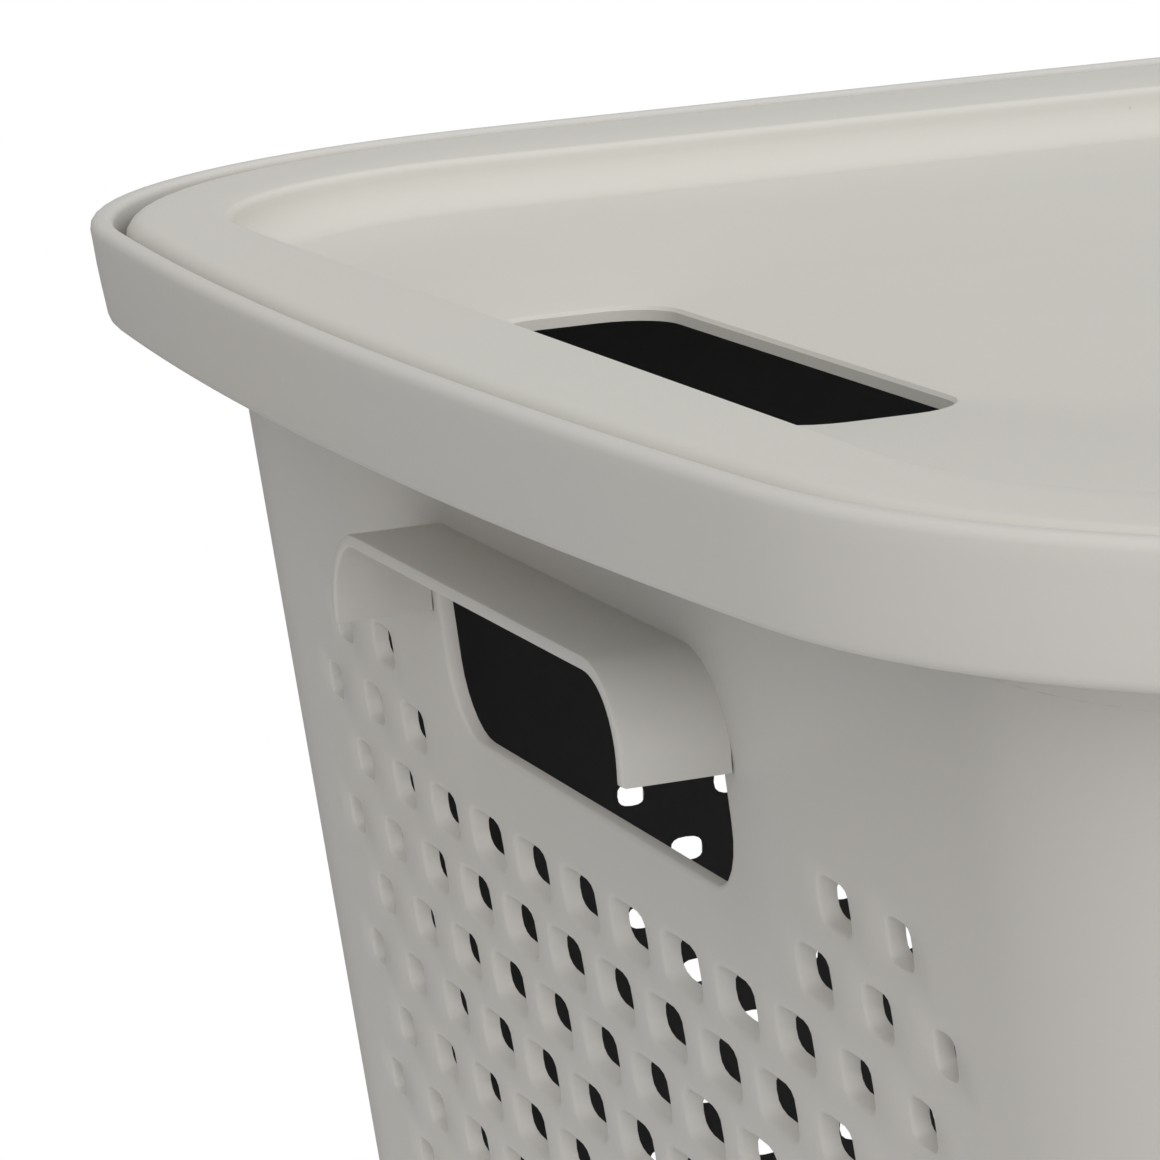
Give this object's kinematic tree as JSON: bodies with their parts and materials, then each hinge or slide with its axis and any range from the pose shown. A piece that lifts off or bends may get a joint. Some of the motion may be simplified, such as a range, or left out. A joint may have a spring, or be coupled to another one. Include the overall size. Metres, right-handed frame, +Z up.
{
  "type": "laundry_hamper_with_lid",
  "caption": "Tall light-grey plastic laundry hamper with a raised rim, perforated drafted walls, hooded hand grips and a loose lift-off lid with two hand cutouts.",
  "frame": {"origin": "Centre of the footprint, on the surface the hamper stands on.", "axes": "+Z is up. X runs along the long side, so the two hooded grips are on the -X and +X walls. Y runs along the short side."},
  "size_m": [0.4996, 0.3996, 0.57],
  "materials": {
    "tub_plastic": "satin moulded polypropylene, warm light grey",
    "lid_plastic": "satin moulded polypropylene, warm light grey"
  },
  "bodies": {
    "tub": {"tub": "tub_plastic"},
    "lid": {"lid": "lid_plastic"}
  },
  "joints": [
    {"name": "lid_lift", "type": "slide", "parent": "tub", "child": "lid", "axis": [0, 0, 1], "range_m": [0, 0.08]}
  ]
}
